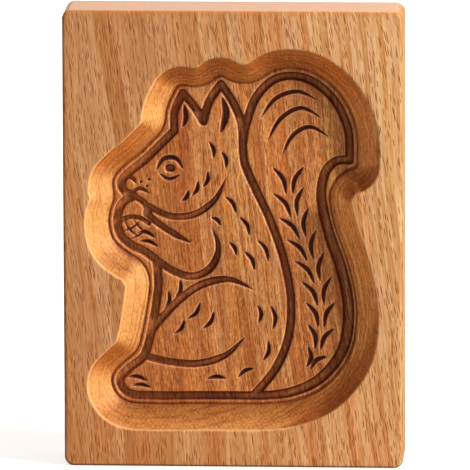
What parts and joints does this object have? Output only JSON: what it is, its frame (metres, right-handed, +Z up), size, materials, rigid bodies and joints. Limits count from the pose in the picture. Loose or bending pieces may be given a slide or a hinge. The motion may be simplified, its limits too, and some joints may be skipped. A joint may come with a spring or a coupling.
{
  "type": "cookie mould",
  "caption": "Rectangular beech block with a figure-shaped recess carved in one face, used to press a relief into biscuit dough.",
  "frame": {"origin": "centre of the lower end of the block, on the surface that it stands on", "axes": "+Z up along the block's length, carved face towards -Y, plain back towards +Y, +X to the right of someone facing the carved face"},
  "size_m": [0.11, 0.02, 0.15],
  "materials": {
    "beech": "oiled, smooth sawn and sanded faces with routed hollows"
  },
  "bodies": {
    "root": {"mould_board": "beech"}
  },
  "joints": []
}
